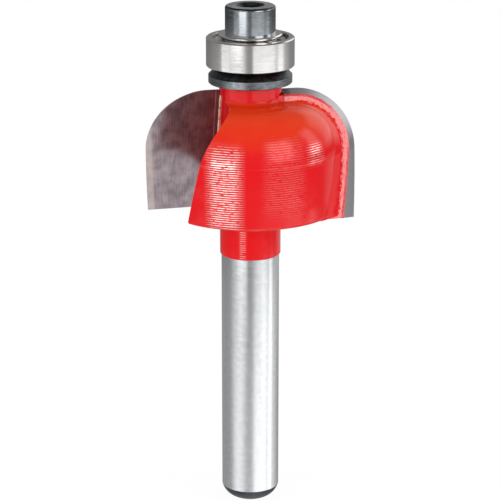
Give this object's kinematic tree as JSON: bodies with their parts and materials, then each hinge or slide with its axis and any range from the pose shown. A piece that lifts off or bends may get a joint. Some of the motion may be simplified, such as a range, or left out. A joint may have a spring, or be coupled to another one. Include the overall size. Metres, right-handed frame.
{
  "type": "cove router bit",
  "caption": "Router bit with a slim round shank, a red rounded body, brazed carbide wings that cut a quarter-round cove, and a ball-bearing pilot held by a socket screw.",
  "frame": {"origin": "centre of the shank's end face", "axes": "+Z along the shank towards the pilot bearing and its screw; the outer bottom corner of the first carbide tip lies on +X"},
  "size_m": [0.0228, 0.0192, 0.0562],
  "materials": {
    "painted_steel_body": "gloss red paint on the head and collar, bare ground steel on the shank and arbor",
    "ground_carbide": "fine ground, mirror-like on the face",
    "silver_braze": "satin",
    "blackened_steel": "black oxide, semi-gloss",
    "polished_steel": "polished",
    "bearing_steel": "ground and polished",
    "cage_steel": "pressed, satin",
    "shield_steel": "rolled sheet, bright",
    "spring_wire": "drawn wire"
  },
  "bodies": {
    "bit": {"cutter_body": "painted_steel_body", "carbide_tip_a": "ground_carbide", "carbide_tip_b": "ground_carbide", "braze_seam_a": "silver_braze", "braze_seam_b": "silver_braze", "spacer_ring": "blackened_steel", "bearing_inner_ring": "bearing_steel", "washer": "polished_steel", "pilot_screw": "blackened_steel"},
    "pilot_race": {"bearing_outer_ring": "bearing_steel", "bearing_shield_upper": "shield_steel", "bearing_shield_lower": "shield_steel", "bearing_snap_ring_upper": "spring_wire", "bearing_snap_ring_lower": "spring_wire"},
    "ball_cage": {"bearing_cage": "cage_steel"},
    "ball_1": {"bearing_ball_1": "bearing_steel"},
    "ball_2": {"bearing_ball_2": "bearing_steel"},
    "ball_3": {"bearing_ball_3": "bearing_steel"},
    "ball_4": {"bearing_ball_4": "bearing_steel"},
    "ball_5": {"bearing_ball_5": "bearing_steel"},
    "ball_6": {"bearing_ball_6": "bearing_steel"},
    "ball_7": {"bearing_ball_7": "bearing_steel"},
    "ball_8": {"bearing_ball_8": "bearing_steel"}
  },
  "joints": [
    {"name": "pilot_spin", "type": "hinge", "parent": "bit", "child": "pilot_race", "pos_m": [0, 0, 0.05126], "axis": [0, 0, 1], "continuous": true},
    {"name": "cage_spin", "type": "hinge", "parent": "bit", "child": "ball_cage", "pos_m": [0, 0, 0.05126], "axis": [0, 0, 1], "continuous": true},
    {"name": "ball_spin_1", "type": "hinge", "parent": "ball_cage", "child": "ball_1", "pos_m": [0.00357, 0, 0.05126], "axis": [0, 0, 1], "continuous": true},
    {"name": "ball_spin_2", "type": "hinge", "parent": "ball_cage", "child": "ball_2", "pos_m": [0.00253, 0.00253, 0.05126], "axis": [0, 0, 1], "continuous": true},
    {"name": "ball_spin_3", "type": "hinge", "parent": "ball_cage", "child": "ball_3", "pos_m": [0, 0.00357, 0.05126], "axis": [0, 0, 1], "continuous": true},
    {"name": "ball_spin_4", "type": "hinge", "parent": "ball_cage", "child": "ball_4", "pos_m": [-0.00253, 0.00253, 0.05126], "axis": [0, 0, 1], "continuous": true},
    {"name": "ball_spin_5", "type": "hinge", "parent": "ball_cage", "child": "ball_5", "pos_m": [-0.00357, 0, 0.05126], "axis": [0, 0, 1], "continuous": true},
    {"name": "ball_spin_6", "type": "hinge", "parent": "ball_cage", "child": "ball_6", "pos_m": [-0.00253, -0.00253, 0.05126], "axis": [0, 0, 1], "continuous": true},
    {"name": "ball_spin_7", "type": "hinge", "parent": "ball_cage", "child": "ball_7", "pos_m": [0, -0.00357, 0.05126], "axis": [0, 0, 1], "continuous": true},
    {"name": "ball_spin_8", "type": "hinge", "parent": "ball_cage", "child": "ball_8", "pos_m": [0.00253, -0.00253, 0.05126], "axis": [0, 0, 1], "continuous": true}
  ],
  "couplings": [
    {"joint": "cage_spin", "follows": "pilot_spin", "ratio": 0.61111},
    {"joint": "ball_spin_1", "follows": "pilot_spin", "ratio": 2.1389},
    {"joint": "ball_spin_2", "follows": "pilot_spin", "ratio": 2.1389},
    {"joint": "ball_spin_3", "follows": "pilot_spin", "ratio": 2.1389},
    {"joint": "ball_spin_4", "follows": "pilot_spin", "ratio": 2.1389},
    {"joint": "ball_spin_5", "follows": "pilot_spin", "ratio": 2.1389},
    {"joint": "ball_spin_6", "follows": "pilot_spin", "ratio": 2.1389},
    {"joint": "ball_spin_7", "follows": "pilot_spin", "ratio": 2.1389},
    {"joint": "ball_spin_8", "follows": "pilot_spin", "ratio": 2.1389}
  ]
}
